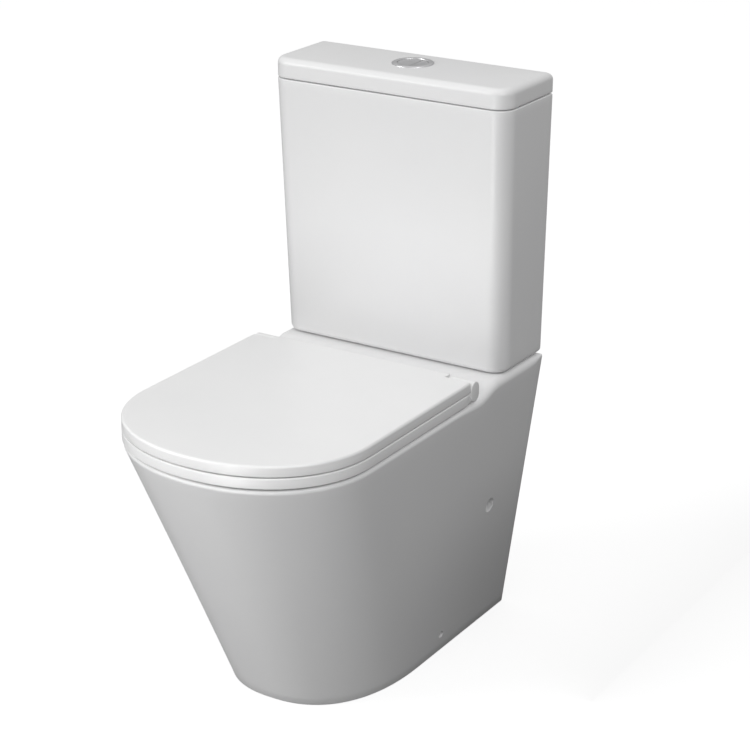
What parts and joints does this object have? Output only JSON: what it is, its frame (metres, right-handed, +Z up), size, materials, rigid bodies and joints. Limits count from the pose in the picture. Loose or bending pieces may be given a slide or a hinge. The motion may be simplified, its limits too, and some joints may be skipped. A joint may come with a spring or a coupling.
{
  "type": "close coupled toilet",
  "caption": "Floor standing back-to-wall toilet with a close coupled cistern, dual flush button in the lid and a D-shaped soft-close seat and cover.",
  "frame": {"origin": "on the floor, at the middle of the object's outline", "axes": "+Z up, +Y towards the wall behind the cistern, +X to the sitter's left"},
  "size_m": [0.3772, 0.603, 0.8203],
  "materials": {
    "vitreous_china": "satin white glaze",
    "seat_duroplast": "white duroplast, satin gloss",
    "chrome_plate": "bright chrome plate",
    "white_plastic": "moulded, unpainted",
    "black_rubber": "matt moulded",
    "clear_buffer": "translucent soft moulding",
    "stainless_steel": "turned and polished",
    "grey_seal": "matt grey seal"
  },
  "bodies": {
    "root": {"pan_skirt": "vitreous_china", "pan_bowl": "vitreous_china", "pan_trapway": "vitreous_china", "cistern": "vitreous_china", "lid_pads": "clear_buffer", "cistern_pads": "grey_seal", "flush_valve_base": "white_plastic", "flush_valve_washer": "grey_seal", "flush_valve_back_nut": "white_plastic", "flush_valve_cage": "white_plastic", "flush_valve_head": "white_plastic", "lever_pins": "stainless_steel", "fill_valve_riser": "white_plastic", "fill_valve_washer": "grey_seal", "fill_valve_back_nut": "white_plastic", "fill_valve_head": "white_plastic", "float_lever_pin": "stainless_steel", "close_coupling_gasket": "black_rubber", "coupling_bolts": "stainless_steel", "coupling_rubber_washers": "black_rubber", "coupling_steel_washers": "stainless_steel", "coupling_wing_nuts": "white_plastic", "hinge_posts": "stainless_steel", "hinge_shafts": "stainless_steel", "hinge_dampers": "white_plastic", "hinge_base_washers": "white_plastic", "hinge_studs": "stainless_steel", "hinge_bushes": "black_rubber", "hinge_wing_nuts": "white_plastic", "floor_brackets": "white_plastic", "side_screws": "stainless_steel"},
    "lid": {"cistern_lid": "vitreous_china", "button_bezel": "chrome_plate", "button_housing": "white_plastic", "button_lock_nut": "white_plastic", "full_flush_spring": "stainless_steel", "half_flush_spring": "stainless_steel"},
    "full_button": {"full_flush_button": "chrome_plate", "full_flush_rod": "white_plastic"},
    "half_button": {"half_flush_button": "chrome_plate", "half_flush_rod": "white_plastic"},
    "full_lever": {"full_flush_lever": "white_plastic"},
    "half_lever": {"half_flush_lever": "white_plastic"},
    "core": {"flush_valve_core": "white_plastic", "core_seal": "grey_seal"},
    "half_trip": {"half_flush_trip": "white_plastic"},
    "float": {"fill_valve_float": "white_plastic"},
    "float_arm": {"float_lever": "white_plastic"},
    "seat": {"seat_ring": "seat_duroplast", "seat_buffers": "clear_buffer"},
    "cover": {"seat_cover": "seat_duroplast", "cover_buffers": "clear_buffer"}
  },
  "joints": [
    {"name": "lid_lift", "type": "slide", "parent": "root", "child": "lid", "axis": [0, 0, 1], "range_m": [0, 0.12]},
    {"name": "full_flush_press", "type": "slide", "parent": "lid", "child": "full_button", "axis": [0, 0, -1], "range_m": [0, 0.007], "stiffness_N_per_m": 400, "springref_m": -0.003, "deforming": ["full_flush_spring"]},
    {"name": "half_flush_press", "type": "slide", "parent": "lid", "child": "half_button", "axis": [0, 0, -1], "range_m": [0, 0.007], "stiffness_N_per_m": 400, "springref_m": -0.003, "deforming": ["half_flush_spring"]},
    {"name": "full_lever_turn", "type": "hinge", "parent": "root", "child": "full_lever", "pos_m": [0.009, 0.2375, 0.742], "axis": [0, -1, 0], "range_deg": [0, 20.1]},
    {"name": "half_lever_turn", "type": "hinge", "parent": "root", "child": "half_lever", "pos_m": [-0.008, 0.2495, 0.742], "axis": [0, 1, 0], "range_deg": [0, 20.1]},
    {"name": "core_lift", "type": "slide", "parent": "root", "child": "core", "axis": [0, 0, 1], "range_m": [0, 0.0092]},
    {"name": "half_trip_lift", "type": "slide", "parent": "root", "child": "half_trip", "axis": [0, 0, 1], "range_m": [0, 0.0092]},
    {"name": "float_rise", "type": "slide", "parent": "root", "child": "float", "axis": [0, 0, 1], "range_m": [0, 0.024]},
    {"name": "float_lever_turn", "type": "hinge", "parent": "root", "child": "float_arm", "pos_m": [-0.151, 0.2435, 0.726], "axis": [0, -1, 0], "range_deg": [0, 23]},
    {"name": "seat_hinge", "type": "hinge", "parent": "root", "child": "seat", "pos_m": [0, 0.1145, 0.415], "axis": [-1, 0, 0], "range_deg": [0, 95]},
    {"name": "cover_hinge", "type": "hinge", "parent": "seat", "child": "cover", "pos_m": [0, 0.1145, 0.415], "axis": [1, 0, 0], "range_deg": [-95, 0]}
  ],
  "couplings": [
    {"joint": "full_lever_turn", "follows": "full_flush_press", "rad_per_m": 50},
    {"joint": "core_lift", "follows": "full_flush_press", "ratio": 1.3},
    {"joint": "half_lever_turn", "follows": "half_flush_press", "rad_per_m": 50},
    {"joint": "half_trip_lift", "follows": "half_flush_press", "ratio": 1.3},
    {"joint": "float_lever_turn", "follows": "float_rise", "rad_per_m": 16.667}
  ]
}
